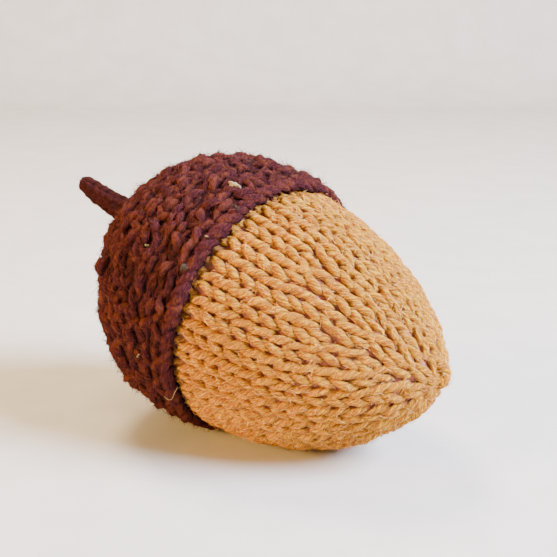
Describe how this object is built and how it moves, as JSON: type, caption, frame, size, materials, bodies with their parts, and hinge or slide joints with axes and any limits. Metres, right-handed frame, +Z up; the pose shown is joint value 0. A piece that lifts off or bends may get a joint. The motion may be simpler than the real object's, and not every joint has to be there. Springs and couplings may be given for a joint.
{
  "type": "knitted acorn toy",
  "caption": "Knitted, stuffed acorn lying on its side: tan stockinette nut, dark red-brown bumpy knitted cap and a short knitted stem.",
  "frame": {"origin": "on the ground plane, under the middle of the whole object's box", "axes": "+X along the acorn's axis as seen from above, towards the tip; +Z up; +Y across"},
  "size_m": [0.0952, 0.0542, 0.0535],
  "materials": {
    "tan_yarn": "plied wool-blend yarn knitted plain, fuzzy and matt",
    "red_brown_yarn": "tweed yarn knitted in knit-and-purl bumps, with pale flecks, matt",
    "fibre_filling": "loose white polyester fibre, hidden inside"
  },
  "bodies": {
    "root": {"nut_cover": "tan_yarn", "cap": "red_brown_yarn", "stem": "red_brown_yarn", "stuffing": "fibre_filling"}
  },
  "joints": []
}
